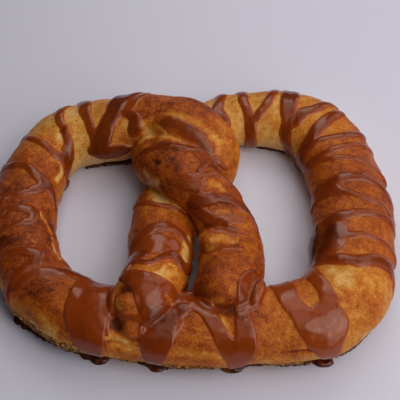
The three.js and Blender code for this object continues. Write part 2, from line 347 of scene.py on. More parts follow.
def rope_body():
    """The rope from one end to the other: a ball whose rings are spread along the path."""
    deselect_all()
    bpy.ops.mesh.primitive_uv_sphere_add(segments=ROPE_SIDES, ring_count=ROPE_RINGS)
    body = bpy.context.object
    ball = get_points(body) * MM
    ring = np.arccos(np.clip(ball[:, 2], -1, 1)) / math.pi * ROPE_RINGS
    angle = np.arctan2(ball[:, 0], ball[:, 1])
    part = np.clip((ring - END_RINGS) / (ROPE_RINGS - 2 * END_RINGS), 0, 1)
    station = rope.start + part * (rope.end - rope.start)
    to_end = np.minimum(ring, ROPE_RINGS - ring) / END_RINGS
    dome = np.clip(1 - to_end, 0, 1) * math.pi / 2
    r = rope.look_up(rope.r, station)
    centre = rope.look_up(rope.centre, station)
    offset = (rope.surface(station, angle) - centre) * np.cos(dome)[:, None]
    bend = rope.look_up(rope.bend, station)
    sharpness = np.maximum(np.linalg.norm(bend, axis=1), 1e-6)
    inward = bend / sharpness[:, None]
    excess = np.maximum((offset * inward).sum(axis=1) - PINCH / sharpness, 0)
    offset -= inward * excess[:, None]
    past = np.where(ring < ROPE_RINGS / 2, -1, 1) * np.sin(dome) * r * END_ROUNDNESS
    points = centre + offset + rope.look_up(rope.along, station) * past[:, None]
    set_points(body, points)
    return body, points, station, angle


def lump_body(at, size, turn):
    deselect_all()
    bpy.ops.mesh.primitive_uv_sphere_add(segments=LUMP_SIDES, ring_count=LUMP_RINGS)
    lump = bpy.context.object
    shape_ball(lump, at, size, turn)
    return lump


# ---- Paths on the dough ----

SAMPLES_PER_SPAN = 24
SNAP = 7  # how far a path may lie from the dough before it is laid on it
ABOVE = 80  # where a path that is given from above is dropped from


def skin_of(thing):
    """The surface of an object, for laying paths on it, in mm."""
    points = get_points(thing)
    polygons = [tuple(polygon.vertices) for polygon in thing.data.polygons]
    return BVHTree.FromPolygons(points.tolist(), polygons)


def lay_on(skin, points):
    laid = []
    for point in points:
        found = skin.find_nearest(point, SNAP)
        laid.append(found[0] if found[0] else point)
    return np.array(laid)


def path_on_rope(skin, rows):
    """Points and half widths of a path given as rows of station, angle and half width."""
    path = smooth_path(rows, SAMPLES_PER_SPAN)
    points = rope.surface(path[:, 0], np.radians(path[:, 1]))
    return lay_on(skin, points), path[:, 2]


def path_from_above(skin, rows):
    """The same for a path given as rows of x, y and half width, dropped onto the dough."""
    path = smooth_path(rows, SAMPLES_PER_SPAN)
    points, widths = [], []
    for x, y, width in path:
        found = skin.ray_cast(Vector((x, y, ABOVE)), Vector((0, 0, -1)))
        if found[0]:
            points.append(found[0])
            widths.append(width)
    return np.array(points), np.array(widths)


def beside_path(points, path, widths, margin):
    """Which points lie within a margin of a path, their distance past its edge, its width."""
    most = widths.max() + margin
    low, high = path.min(axis=0) - most, path.max(axis=0) + most
    near = np.flatnonzero(((points > low) & (points < high)).all(axis=1))
    if not len(near):
        return near, np.empty(0), np.empty(0)
    gaps = points[near][:, None, :] - path[None, :, :]
    past = np.sqrt((gaps ** 2).sum(axis=2)) - widths
    closest = past.argmin(axis=1)
    past = past[np.arange(len(near)), closest]
    return near, past, widths[closest]


# ---- The dough's relief and browning ----

# How brown the top of the crust is along the rope, from 0, pale dough, to 1, dark brown.
BROWNING = [
    (-330, 0.58), (-312, 0.46), (-296, 0.62), (-275, 0.6), (-245, 0.55), (-225, 0.5),
    (-213, 0.7), (-206, 0.66), (-192, 0.56), (-180, 0.32), (-160, 0.14), (-146, 0.3),
    (-128, 0.64), (-95, 0.74), (-62, 0.72), (-42, 0.46), (-15, 0.6), (4, 0.66), (20, 0.56),
    (42, 0.46), (64, 0.32), (73, 0.58), (90, 0.6), (110, 0.66), (132, 0.54), (150, 0.26),
    (195, 0.26), (228, 0.6), (245, 0.74), (262, 0.66), (280, 0.6), (300, 0.57), (308, 0.62),
    (314, 0.71), (322, 0.7),
]
BROWN_MOST = 1.2
FLANK_PALER = 0.26  # how much less brown the flanks are than the top

# The crust's patterns are broad, middling and fine swells, blisters and folds: their sizes in mm,
# their heights in mm, and how much browner they are.
BROAD, MIDDLING, FINE, BLISTERS, BLISTERED = 17, 5.5, 1.9, 2.6, 8
FOLDS_ALONG, FOLDS_ACROSS = 8, 1.7
PATTERN_HEIGHTS = (0.4, 0.26, 0.1, 0.2, 0.26)
PATTERN_BROWNS = (0.12, 0.12, 0, 0.08, -0.1)

# Grooves along the rope: rows of station, angle and half width, then depth in mm and browning;
# the browning in a groove is partly painted shade.
CREASES = [
    ([(276, 51, 0.9), (282, 27, 1), (284, 6, 0.9), (288, -9, 0.9), (288, -20, 0.5)], 0.5, 0.2),
    ([(291.4, 74, 0.9), (298.4, 38, 1.3), (299.2, 10, 1.3), (298.6, -14, 0.9)], 0.6, 0.15),
    ([(-37, 58, 0.5), (-34, 52, 0.7), (-31, 54, 0.5)], 0.6, 0.45),
    ([(27, 67, 0.5), (33, 66, 0.8), (38, 69, 0.6)], 0.6, 0.4),
    ([(-154, -9, 1.2), (-152.5, -9, 1.3)], 1.5, 0.8),
    ([(-161.4, -3, 0.5), (-160.8, -3, 0.5)], 0.6, 0.5),
    ([(242, 33, 0.9), (243, 40, 1.1), (244, 34, 0.8)], 0.6, 0.35),
    ([(-90.5, 4, 0.5), (-90, 2, 0.5)], 0.5, 0.4),
    ([(-306, -40, 0.6), (-309, -20, 0.8), (-308, -6, 0.5)], 0.5, 0.3),
    ([(296, 5, 0.7), (297, -8, 0.9), (295, -14, 0.7)], 0.5, 0.4),
    # browner flanks, without a groove
    ([(256, -70, 4), (276, -68, 6), (300, -66, 6), (316, -60, 5)], 0, 0.16),
    ([(-93, 50, 3), (-91, 26, 3.6), (-89, 4, 2.8)], 0, 0.2),
    ([(-208, -36, 3), (-216, -38, 3.6), (-223, -34, 3.4), (-228, -20, 2.4)], 0, 0.3),
    ([(6, -8, 3), (14, -4, 4), (22, 10, 3.4)], 0, 0.12),
]

# Stretched, paler places: rows of station, angle and half width, and how much paler.
PALE_MARKS = [
    ([(-142, -24, 0.5), (-138, -42, 1.2), (-135, -60, 1.7), (-127, -63, 1.4)], 0.5),
    ([(-104, -37, 0.4), (-97, -51, 0.9), (-89, -60, 0.9), (-75, -60, 0.7)], 0.45),
    ([(-97, -3, 0.4), (-90, -15, 0.5), (-85, -25, 0.4)], 0.35),
    ([(-148, -22, 1.8), (-150, -14, 1.6)], 0.25),
    ([(57, -24, 2.6), (57, -3, 3.6), (56, 9, 2)], 0.25),
    ([(-34, 50, 0.4), (-27, 51, 0.6), (-21, 48, 0.5)], 0.4),
    ([(-284, 58, 1.2), (-288, 54, 2.4), (-294, 54, 2.8), (-299, 56, 1.6)], 0.6),
    ([(-267, -16, 1.2), (-267, 9, 2.2), (-267, 36, 1.6)], 0.46),
    ([(-317, 8, 2), (-312, 24, 3), (-307, 40, 2.4)], 0.26),
    ([(-316, 10, 0.5), (-311, 18, 0.8), (-306, 24, 0.8), (-305, 38, 0.5)], 0.35),
    ([(239, 69, 1.8), (243, 75, 2.6), (247, 70, 1.6)], 0.5),
    ([(-193, -39, 1.4), (-201, -33, 1.8), (-211, -14, 1.8), (-219, -6, 2), (-229, 8, 1.4)], 0.26),
    ([(-202, -10, 0.3), (-203.5, -2, 0.3)], 0.4),
    ([(292, 52, 1.6), (295, 38, 2.2)], 0.4),
    ([(291, 32, 2), (291, 12, 2.6), (293, -6, 1.8)], 0.26),
    ([(259, 8, 1.4), (262, -5, 2.2), (266, -18, 1.6)], 0.26),
    ([(271, 18, 1), (273, -2, 1.4)], 0.25),
    ([(5, 6, 1.4), (7, 18, 1.8), (9, 33, 1.2)], 0.36),
    ([(-37, 42, 2), (-31, 56, 3.4), (-22, 64, 3)], 0.26),
    ([(-13, 60, 2), (-4, 60, 2.6), (4, 66, 2)], 0.26),
    ([(-62, 78, 1.4), (-56, 82, 2.2), (-49, 84, 1.6)], 0.5),
    ([(-186, -34, 3), (-192, -48, 4.5), (-198, -62, 3.5)], 0.32),
    ([(-262, -40, 2.4), (-261, -10, 4), (-261, 22, 4), (-262, 46, 2.6)], 0.52),
    ([(-84, 86, 3), (-79, 72, 3.6), (-76, 64, 2)], 0.3),
    ([(-72, 74, 3.4), (-66, 62, 5), (-59, 56, 5), (-54, 62, 3)], 0.3),
    ([(232, -60, 3), (238, -48, 4), (244, -52, 3)], 0.14),
    ([(229, 44, 2.4), (228, 14, 3.8), (228, -16, 3.6), (230, -40, 2)], 0.42),
]

# Marks placed from above: rows of x, y and half width, then groove depth in mm and browning. The
# dark ones low beside the left foot, at x -34 to -27, are partly painted shade in the valley
# there.
MARKS_FROM_ABOVE = [
    ([(-24.5, -43.6, 2.4), (-20.5, -44.2, 2.6)], 0, 0.4),
    ([(-27.6, -54, 2), (-27, -56.6, 1.8)], 0, 0.5),
    ([(-27.8, -46.5, 0.8), (-27.6, -50, 1), (-25.5, -52, 0.8)], 0, -0.4),
    ([(8.5, -47.2, 1.8), (12.5, -47.8, 2.4)], 0, -0.26),
    ([(9, -43.5, 3.4), (14, -42, 4), (17, -46, 3)], 0, -0.16),
    ([(-34, -46, 2), (-33, -52, 3), (-31, -56, 2.5)], 0, 0.45),
    ([(-17, 29.6, 2), (-10, 30.4, 3), (-3, 28.6, 2.6), (3, 26.8, 1.6)], 0, -0.3),
]

# A mark's ragged edge: how far it wanders and frays, and how far in the mark is at its full.
MARK_EDGE = (0.4, 0.2, 1)
PALE_EDGE = (0.6, 0.35, 0.8)
PALE_DEPTH = 0.12
MARK_SPREAD = 1.3

JOINT_DEPTH = 0.6  # the dark groove where two stretches of dough meet
JOINT_REACH = 1.5
# Painted shade in that groove: how much browner the crust is made where two stretches meet.
JOINT_PAINTED_SHADE = 0.14
OWN_STRETCH = 35  # farther along the rope than this, it is another stretch that crosses
LUMP_JOINT = 2.5  # a lump's groove is this much narrower
FAR_OFF = 99
POINTS_AT_ONCE = 4000  # saves memory

UNDERSIDE_DARK_AND_SHADE = 0.6
# Up to what height the low flank is darker, partly baked dark and partly painted shade: station,
# mm.
DARK_UNDERSIDE = [
    (-300, 2), (-80, 2), (-66, 3), (-58, 8), (-50, 8.5), (-44, 4), (-38, 2), (-20, 2), (12, 2.2),
    (34, 5), (56, 7), (76, 8.5), (90, 7), (104, 3), (320, 2),
]

LOW_FLANK, LOW_FLANK_SWING = 128, 26  # its middle round the rope and its reach, in degrees
# How far the low front flank curves in over the rim of burnt sugar: station, mm.
UNDERCUT = [
    (-92, 0), (-78, 0.6), (-62, 1.8), (-34, 2.2), (-22, 1.4), (0, 1.5), (16, 1.6), (44, 1.4),
    (60, 2.4), (76, 2.6), (92, 1.4), (104, 0),
]

# Places with short wrinkles along the rope: station, angle, and their reach in mm and degrees.
WRINKLED = [
    (-276, 0, 6, 60), (-309, 14, 8, 50), (243, 10, 12, 55), (262, -6, 8, 50), (294, 0, 9, 60),
    (-5, 30, 22, 40), (-205, 10, 16, 40),
]


def closeness(past, widths):
    """1 on a path's middle line, 0 at its edge."""
    return np.clip(-past / np.maximum(widths, 0.01), 0, 1)


def wrinkle_mask(station, angle):
    mask = np.zeros(len(station))
    for middle, turned, reach, swing in WRINKLED:
        far = ((station - middle) / reach) ** 2 + ((np.degrees(angle) - turned) / swing) ** 2
        mask = np.maximum(mask, np.exp(-far))
    return mask


def joint_gap(points, station):
    """How far each point is from the nearest stretch or lump of dough that isn't its own."""
    few = slice(None, None, 4)  # every fourth section is enough
    centre, r, places = rope.centre[few], rope.r[few], rope.station[few]
    frame_of = [rope.out[few], rope.up[few] / FLATNESS, rope.along[few]]
    gaps = np.empty((len(points), 2 + len(LUMPS)))
    for first in range(0, len(points), POINTS_AT_ONCE):
        part = slice(first, first + POINTS_AT_ONCE)
        offset = points[part, None, :] - centre[None]
        reach = np.sqrt(sum((offset * axis[None]).sum(axis=2) ** 2 for axis in frame_of)) - r
        own = np.abs(station[part, None] - places[None]) < OWN_STRETCH
        gaps[part, 0] = np.where(own, reach, FAR_OFF).min(axis=1)
        gaps[part, 1] = np.where(own, FAR_OFF, reach).min(axis=1)
    for column, lump in enumerate(LUMPS, 2):
        offset = points - np.array(lump["at"])
        cosine, sine = math.cos(lump["turn"]), math.sin(lump["turn"])
        x = offset[:, 0] * cosine + offset[:, 1] * sine
        y = offset[:, 1] * cosine - offset[:, 0] * sine
        turned = np.stack([x, y, offset[:, 2]], axis=1) / np.array(lump["size"])
        gaps[:, column] = (np.linalg.norm(turned, axis=1) - 1) * min(lump["size"])
        gaps[:, column] *= LUMP_JOINT
    gaps.sort(axis=1)
    return np.maximum(gaps[:, 1], 0)


def shape_dough(dough, rope_points, station, angle):
    """Gives the dough its relief, and keeps in an attribute how brown it is, with painted shade in
    its joints, grooves and low flanks.
    """
    points, normals = get_points(dough), get_normals(dough)
    nearest = nearest_in(tree_of(rope_points), points)
    station, angle = station[nearest], angle[nearest]
    arc = angle * rope.look_up(rope.r, station)
    skin = skin_of(dough)

    broad = grain(points, BROAD, 1, 2)
    middling = grain(points, MIDDLING, 2, 3)
    fine = grain(points, FINE, 3, 2)
    blistered = smooth_step(-0.1, 0.35, grain(points, BLISTERED, 5))
    blisters = cobbles(points, BLISTERS, 4) * blistered
    wrinkled = wrinkle_mask(station, angle)
    stretched = np.stack([station / FOLDS_ALONG, arc / FOLDS_ACROSS, points[:, 2] * 0], axis=1)
    folds = (1 - 2 * np.abs(grain(stretched, 1, 9, 2))) * wrinkled
    patterns = [broad, middling, fine, blisters, folds]
    lift = sum(height * pattern for height, pattern in zip(PATTERN_HEIGHTS, patterns))

    brown_and_shade = np.interp(station, *zip(*BROWNING))
    brown_and_shade -= FLANK_PALER * smooth_step(0.75, -0.35, normals[:, 2])
    brown_and_shade += sum(browner * pattern for browner, pattern in zip(PATTERN_BROWNS, patterns))
    joint = np.exp(-(joint_gap(points, station) / JOINT_REACH) ** 2)
    lift -= JOINT_DEPTH * joint
    # painted shade in the groove where two stretches meet
    brown_and_shade += JOINT_PAINTED_SHADE * joint
    marks = [(path_on_rope, *mark, MARK_EDGE) for mark in CREASES]
    marks += [(path_from_above, *mark, MARK_EDGE) for mark in MARKS_FROM_ABOVE]
    marks += [(path_on_rope, rows, PALE_DEPTH, -paler, PALE_EDGE) for rows, paler in PALE_MARKS]
    for lay_path, rows, depth, darker, (wander, fray, full) in marks:
        path, widths = lay_path(skin, rows)
        near, past, width = beside_path(points, path, widths * MARK_SPREAD, 0)
        ragged = past + wander * middling[near] + fray * fine[near]
        close = smooth_step(0, full, closeness(ragged, width))
        lift[near] -= depth * close
        # browner; in the grooves and the dark marks beside the left foot this is partly painted
        # shade
        brown_and_shade[near] += darker * close

    low_flank = ((np.degrees(angle) - LOW_FLANK) / LOW_FLANK_SWING) ** 2
    lift -= np.interp(station, *zip(*UNDERCUT)) * np.exp(-low_flank)
    dark_height = np.interp(station, *zip(*DARK_UNDERSIDE))
    low = smooth_step(1.3, 0.4, (points[:, 2] + 0.8 * middling) / dark_height)
    # the low flank darker: partly baked dark, partly painted shade
    brown_and_shade += UNDERSIDE_DARK_AND_SHADE * low
    rest_on_table(dough, points + normals * lift[:, None])
    set_attribute(dough, "browning_and_shade", np.clip(brown_and_shade, 0, BROWN_MOST))
    set_attribute(dough, "wrinkled", wrinkled)
    set_attribute(dough, "station", station * MM)
    set_attribute(dough, "arc", arc * MM)


def make_dough():
    body, rope_points, station, angle = rope_body()
    dough = join([body, *(lump_body(**lump) for lump in LUMPS)], "pretzel_dough")
    rest_on_table(dough, get_points(dough))
    remesh(dough, DOUGH_GRID, 3)
    shape_dough(dough, rope_points, station, angle)
    shade_smooth(dough)
    return dough


dough = make_dough()

# ---- The caramel ----

# Runs of caramel over the rope: rows of station, angle and half width.
RUNS_LEFT = [
    # left back, each run crossing the rope
    [(-159, 54, 1.8), (-156.5, 34, 1.7), (-154.5, 7, 1.5), (-153.7, -14, 1.4), (-151.5, -36, 1.6),
     (-146, -50, 2.4), (-139.5, -68, 2.6), (-136, -86, 2), (-133, -108, 1.7)],
    [(-165.6, 60, 2.3), (-166, 40, 2.3), (-166.1, 11, 2), (-166.9, -11, 1.6), (-167.6, -32, 1.5),
     (-168.3, -50, 1.7), (-167.6, -68, 2.2)],
    [(-186.5, 58, 3.8), (-183.6, 43, 3.6), (-180.7, 0, 3), (-178.5, -14, 2.8), (-175, -32, 2.8),
     (-172, -47, 3), (-169.8, -66, 3.2)],
    [(-183, -4, 1.3), (-188, -16, 1.5), (-191, -27, 2), (-190.9, -43, 2.4), (-189.8, -50, 1.8)],
    # left side
    [(-142, 75, 1.6), (-142.1, 50, 1.3), (-141.3, 18, 1.1), (-140.6, -4, 1.1), (-139.9, -22, 1.3),
     (-139.3, -34, 1.6), (-140.5, -52, 2.2)],
    [(-129, 80, 1.6), (-128.9, 66, 1.5), (-128.2, 40, 1.2), (-127.4, 4, 1.3), (-123.8, -18, 1.7),
     (-120.9, -36, 2.2), (-118, -54, 1.8), (-114.3, -65, 1.3), (-110.3, -76, 1.2)],
    [(-108.5, 66, 1.1), (-109.9, 32, 0.9), (-112.1, 18, 0.8), (-112.9, -4, 0.9),
     (-115.8, -25, 1.6), (-118.5, -38, 1.8)],
    [(-101.5, 64, 1.3), (-102.8, 32, 1.1), (-104.8, 18, 1.1), (-104.6, -7, 1.6), (-103.2, -22, 2),
     (-100.6, -25, 1.8), (-98.6, -20, 1.4), (-96.8, 0, 1), (-95.4, 18, 0.8), (-93.9, 32, 0.8),
     (-92.5, 62, 0.9)],
    [(-83, 70, 1.2), (-83.7, 47, 1.1), (-85.1, 25, 1.1), (-83.9, 4, 1.4), (-81.2, -14, 1.9),
     (-78.8, -18, 2.1), (-76.6, -9, 2), (-76.4, 2, 1.6), (-76.2, 16, 1.3), (-75.6, 32, 1.3),
     (-74.9, 50, 1.4), (-73.5, 74, 1.3), (-72, 94, 1.5), (-71, 110, 1.2)],
    [(-74, 50, 1.3), (-73, 40, 1.6), (-72.7, 14, 1.6), (-70.5, -7, 1.7), (-66.9, -29, 2),
     (-62.5, -50, 2.4), (-56, -64, 2.4), (-47, -62, 2.2)],
]
# Wide films: thickness in mm, how far in from its edge a film gets that thick, then the rows.
FILMS_LEFT = [
    (1.7, 1, [(-133.4, -96, 1.2), (-132.6, -122, 1.3)]),
    (0.7, 1.2, [(-48, -60, 6), (-45.8, -20, 7.6), (-45, 4, 8), (-44.6, 20, 7.4), (-43, 43, 6.2),
     (-42, 68, 5.2), (-41, 84, 4), (-40.4, 104, 3), (-40, 122, 2.4)]),
    (0.45, 1.6, [(-66, -34, 2), (-60, -48, 3.4), (-53, -56, 4), (-45, -60, 3.4)]),
    (1.0, 1.2, [(-166, -68, 2.4), (-171, -74, 3.2), (-176, -79, 3.2), (-181, -80, 2.4),
     (-185.5, -80, 1.2)]),
    (0.6, 1.6, [(-189, 56, 4.4), (-188, 30, 4.2), (-187.5, 10, 3.2), (-187.5, -6, 1.6)]),
]
RUNS_MIDDLE = [
    [(-16, -58, 2), (-10, -66, 3), (-4, -62, 2.6)],
]
FILMS_MIDDLE = [
    # the belly's drips
    (0.8, 1, [(-17, 10, 5.4), (-18, 24, 5.8), (-18.4, 40, 5.8), (-18.5, 50, 5.2), (-18.6, 64, 4.4),
     (-18.8, 79, 3.4), (-19, 100, 2.6), (-19, 122, 1.8)]),
    (0.65, 0.9, [(-4.5, -14, 2.4), (-1.5, -8, 2.6), (1.4, 5, 2.6), (4.6, 26, 2.8), (6.8, 43, 3),
     (9.4, 62, 3.4), (10.6, 70, 3.2)]),
    (0.65, 0.9, [(12.6, -20, 1.6), (13.6, 4, 2.4), (13.8, 12, 2.8), (14.1, 22, 3.2),
     (14.4, 36, 3.6), (13.6, 52, 4), (12.4, 64, 4.2), (11.2, 84, 3.3), (10.6, 104, 2.6),
     (10.2, 122, 1.8)]),
    # the arch beside the lump
    (0.34, 3, [(-204, -28, 1.6), (-210, -34, 3), (-215.7, -37, 3.6), (-219, -36, 3.8),
     (-223, -33, 3.4), (-227.5, -21, 2.6), (-230, -2, 1.8), (-230.3, 11, 1.2)]),
    (0.45, 0.5, [(-230.3, 11, 1), (-232.5, 29, 0.7), (-233.4, 46, 0.5)]),
    # the lower side of the lump
    (0.4, 1.8, [(252.5, 54, 1), (254.4, 40, 2.2), (256.4, 30, 2.6), (257.8, 20, 2.4),
     (258.4, 8, 1.8)]),
    # the diagonal
    (0.55, 0.8, [(254.6, 26, 1.6), (256.8, 6, 1.8), (258, -12, 1.6), (259.6, -30, 1.5),
     (262.5, -46, 1.5), (266, -57, 1.4), (269.5, -66, 1.2)]),
    (0.45, 0.5, [(257.4, 0, 0.7), (257.9, 14, 0.8), (260, 28, 0.9), (261, 40, 1)]),
    (0.85, 1.1, [(261, 62, 1.8), (263, 48, 2.6), (264.6, 30, 2.6), (265.6, 14, 2.2), (267, 0, 1.5),
     (269.3, -18, 1.4), (272.5, -38, 1.8), (276, -52, 1.8), (280.4, -58, 1.4), (284, -60, 1)]),
    (0.8, 0.9, [(262, 64, 2), (267, 53, 2.4), (271.5, 37, 2.2), (277, 20, 1.8), (282, 4, 1.4)]),
    (0.32, 1.5, [(270, 34, 1.6), (275, 10, 2.4), (279, -8, 2.2), (281, -26, 1.6)]),
    (0.3, 1.5, [(283.5, 40, 2.4), (286, 16, 2.8), (287.5, -10, 2.2)]),
    # left leg: its band, then the sheet round its side
    (0.65, 0.6, [(-265.5, -84, 1), (-266.6, -72, 1.1), (-266.6, -54, 1.1), (-267.8, -29, 1.2),
     (-269.7, -4, 1.2), (-271, 18, 1.1), (-272, 42, 0.9)]),
    (0.75, 1.1, [(-293, -62, 2.6), (-290, -44, 2.9), (-286, -22, 2.8), (-283.6, 0, 2.5),
     (-283, 24, 2), (-286, 44, 1.6), (-288.6, 66, 1.4), (-290, 88, 1.2)]),
    (0.5, 2, [(-297, -44, 4), (-294, -20, 4.6), (-294, 4, 4.4), (-293, 22, 3.4)]),
    (0.95, 1.2, [(-311, -66, 3), (-306, -54, 3.6), (-303, -40, 3.4), (-304, -24, 2.6)]),
    (0.9, 0.9, [(-309, -34, 1.8), (-309.5, -14, 1.6), (-307.5, 0, 1.5), (-302, 14, 1.7),
     (-298.2, 29, 2.1), (-300, 44, 2.3), (-299.7, 62, 2.4), (-296, 82, 1.8)]),
    # right leg
    (0.5, 0.7, [(300.6, 46, 0.8), (300.4, 22, 1.4), (300, 0, 1.5), (300, -18, 1)]),
]
POOLS_MIDDLE = [
    # the same from above, with rows of x, y and half width; first the lump's bands
    (0.9, 1, [(-24.5, 20.4, 1), (-22.3, 24, 1.3), (-18.2, 25.4, 1.4), (-10.9, 24.8, 1.5),
     (-2.1, 23.2, 1.4), (4, 23.4, 1.2), (8, 22.6, 1.1), (10.6, 20.8, 1)]),
    (0.8, 0.9, [(4.2, 9.4, 1.2), (7.2, 15, 1.5), (9, 18.4, 1.6), (10.4, 20.8, 1.4)]),
    # the left foot
    (0.75, 1.2, [(-25.4, -37, 2.2), (-21, -39.6, 3.4), (-17, -43.2, 4.6), (-14.6, -47.5, 4.9),
     (-13.6, -51.5, 4.6), (-11.5, -54.5, 4), (-8, -55.5, 3)]),
    (0.65, 1, [(-18, -39.8, 2.4), (-13, -41.4, 2.8), (-8, -42.8, 2.4), (-5, -44, 1.8)]),
    (0.85, 1.2, [(-15, -52.5, 3), (-10, -53.6, 2.8), (-5.5, -52.4, 2.6), (-2, -49.5, 2.6)]),
    (0.65, 1, [(-6, -45.6, 1.6), (-1, -44.6, 2.2), (3.4, -46.4, 2.6), (7, -49, 2.6)]),
    (0.5, 0.5, [(-31.5, -49.5, 0.8), (-28, -51.5, 0.8), (-24.1, -53, 0.9), (-18.8, -54.6, 1.3),
     (-15.3, -56, 2)]),
    (0.5, 1, [(-32.6, -42.5, 2), (-32.4, -48, 2.4), (-31.8, -54, 2), (-31, -58, 1.2)]),
    (0.5, 0.6, [(-2.9, -54.9, 1.2), (-4.7, -58, 1.5), (-6.2, -60.4, 1.2)]),
    # the right end
    (0.7, 0.8, [(24.6, -35.3, 1.4), (21.8, -38.7, 2), (20.6, -43.9, 2.2), (20.6, -48, 2.2),
     (20.9, -52.8, 2.4)]),
    (0.7, 0.7, [(24.7, -35.3, 1.4), (27.8, -37, 1.4), (29, -40.5, 1.3), (28.4, -43.8, 1.2),
     (26.8, -47.2, 1.3), (24.2, -50, 1.4)]),
    (0.3, 1.2, [(24.5, -37.6, 1.8), (24.8, -43, 2.2), (23.8, -48.6, 1.8)]),
]
RUNS_RIGHT = [
    # right side
    [(60, -86, 1.8), (64, -66, 1.8), (67, -46, 1.9), (67, -25, 1.9), (66.8, -8, 1.9), (67.8, 6, 2),
     (69.6, 22, 2.1), (70.6, 38, 2.2), (70.6, 54, 2.2), (69.4, 70, 2.1), (67.4, 84, 1.9),
     (65.6, 98, 1.6)],
    [(79.6, -26, 2), (80.3, -9, 1.5), (81.2, 7, 1), (80.5, 25, 0.9), (79.8, 43, 0.9),
     (77.6, 65, 0.9), (75, 84, 1)],
    [(88.6, -46, 2), (90, -24, 1.9), (91, -7, 1.6), (91.8, 14, 1.3), (91.3, 32, 1.2),
     (91, 58, 1.5), (89.6, 76, 1.6), (88.6, 100, 1.6)],
    [(102.6, -11, 1.2), (100.2, 4, 1), (98.2, 22, 0.9), (97, 40, 1), (93.8, 54, 0.9), (92, 76, 1)],
    [(108.8, -30, 1.8), (109.6, -14, 1.8), (109.6, -4, 1.7), (109.2, 11, 1.6), (108.2, 27, 1.5),
     (106.6, 43, 1.6), (104.8, 60, 1.8), (103, 76, 1.8), (101.6, 94, 1.6)],
    [(128, -88, 1.4), (125.5, -70, 1.5), (124.1, -58, 1.5), (123.2, -40, 1.2), (121.4, -18, 1.1),
     (120.6, 0, 1), (119.2, 18, 0.9), (117.7, 36, 1), (114.1, 54, 1.1), (112, 76, 1.2)],
    [(126, -64, 1.2), (125.4, -43, 1.3), (125.5, -29, 1.2), (126, -11, 1.1), (126.8, 11, 1.1),
     (127.2, 32, 1.1), (127.2, 61, 1.1), (127, 86, 1)],
    [(130.5, -88, 2), (132, -70, 2), (133.8, -54, 1.8), (134.4, -32, 1.4), (133.6, -14, 1.3),
     (132.4, 7, 1.5), (132.6, 32, 1.6), (133.5, 62, 1.4)],
    # right back
    [(134, -88, 2), (136.5, -60, 2.2), (139, -36, 2.2), (141.6, -18, 2.2), (143, 7, 2.1),
     (143.6, 22, 2), (144, 48, 1.6)],
    [(163, 62, 2.9), (162.2, 36, 3), (161.5, -4, 2.6), (160, -29, 2.3), (159.3, -61, 2.1),
     (155.5, -90, 2), (154.3, -112, 2)],
    [(157.5, -34, 2), (155.7, -25, 2.2), (153.5, -7, 2), (150.5, 11, 1.9), (149.6, 36, 1.8),
     (148, 58, 1.5)],
    [(182.5, 64, 1.8), (181.9, 44, 1.8), (181.2, 4, 1.7), (179, -25, 1.7), (177.5, -50, 2),
     (176.8, -78, 2), (177.5, -106, 2.2)],
    [(168.8, 54, 1.8), (169.5, 29, 1.8), (171, 0, 1.6), (173.9, -25, 1.6), (176.3, -38, 1.7)],
    [(188.6, 58, 2), (189.2, 40, 2), (192.1, 14, 1.9), (194.8, -2, 2.2), (195.6, -25, 2.5),
     (197, -42, 2.3)],
]
FILMS_RIGHT = [
    (1.8, 1, [(154.2, -100, 1.3), (154, -124, 1.4)]),
    (1.8, 1, [(136.4, -96, 1), (135.6, -122, 1.2)]),
    # front right: the two bands of a V, and the sheet between them
    (0.5, 1.6, [(30, -64, 3.2), (31.6, -44, 3.8), (32.2, -18, 3.5), (33.4, -3, 3.5), (36, 14, 3.8),
     (38, 32, 4.6), (39.6, 54, 4.4), (41, 76, 3.5), (41.6, 96, 2.8), (41.6, 118, 2)]),
    (0.55, 1.6, [(53.6, -68, 2.2), (51.6, -47, 2.6), (49.6, -25, 2.5), (48.4, -6, 2.8),
     (46.4, 12, 3.4), (44, 26, 4.4)]),
    (0.5, 1.6, [(44.5, 16, 2.6), (43, 26, 5.6), (42.4, 36, 7.6), (41.9, 48, 6.6), (41.8, 62, 5),
     (41.7, 84, 3.6), (41.6, 106, 2.6)]),
    # right side: the pool on the loop's inner side, thick so that it comes out dark, partly
    # painted shade on the flank turned from the light, and the sheet between two runs
    (1.25, 8, [(88.6, -38, 3), (85, -40, 5.6), (80.5, -40, 7), (76, -46, 6.4), (71, -56, 5),
     (67.5, -66, 3)]),
    (1.25, 4, [(88, -66, 3), (84, -72, 5), (78, -76, 5.6), (72, -80, 4.6), (68, -84, 3)]),
    (0.8, 1, [(103, -90, 2.2), (105.6, -72, 2.8), (106.8, -52, 3.2), (105.6, -36, 2.6),
     (103.4, -20, 1.6), (102.6, -11, 1.2)]),
    (0.55, 1, [(108.6, -50, 3), (107.8, -34, 3.2), (107.4, -22, 2)]),
]

CARAMEL_GRID = 0.5
# How far a run stands over the dough: THIN + PER_WIDTH * its half width, at most MOST.
CARAMEL_THIN = 0.5
CARAMEL_PER_WIDTH = 0.13
CARAMEL_MOST = 1.1
# How far in from its edge a run gets that thick: PER_WIDTH * its half width, within limits.
EDGE_PER_WIDTH, EDGE_LEAST, EDGE_MOST = 0.8, 0.7, 2.2
CARAMEL_MARGIN = 2.2  # the sauce's skin goes on this far past its edge, under the dough
CARAMEL_SLOPE = 0.9  # and dips by this much for each mm past the edge
CARAMEL_ROOT = 1.3
RUN_SPREAD, FILM_SPREAD, POOL_SPREAD = 1.5, 1.22, 1.2
SAUCE_SKIN = 0.28  # even a soft film stands at least this far over the dough
SKIN_EDGE = 0.35
WAVER = 0.25  # how far a run's edge wanders
WAVER_LENGTH = 5
UNEVEN_SIZE, UNEVEN_PART = 7, 0.1  # how the sauce's thickness varies


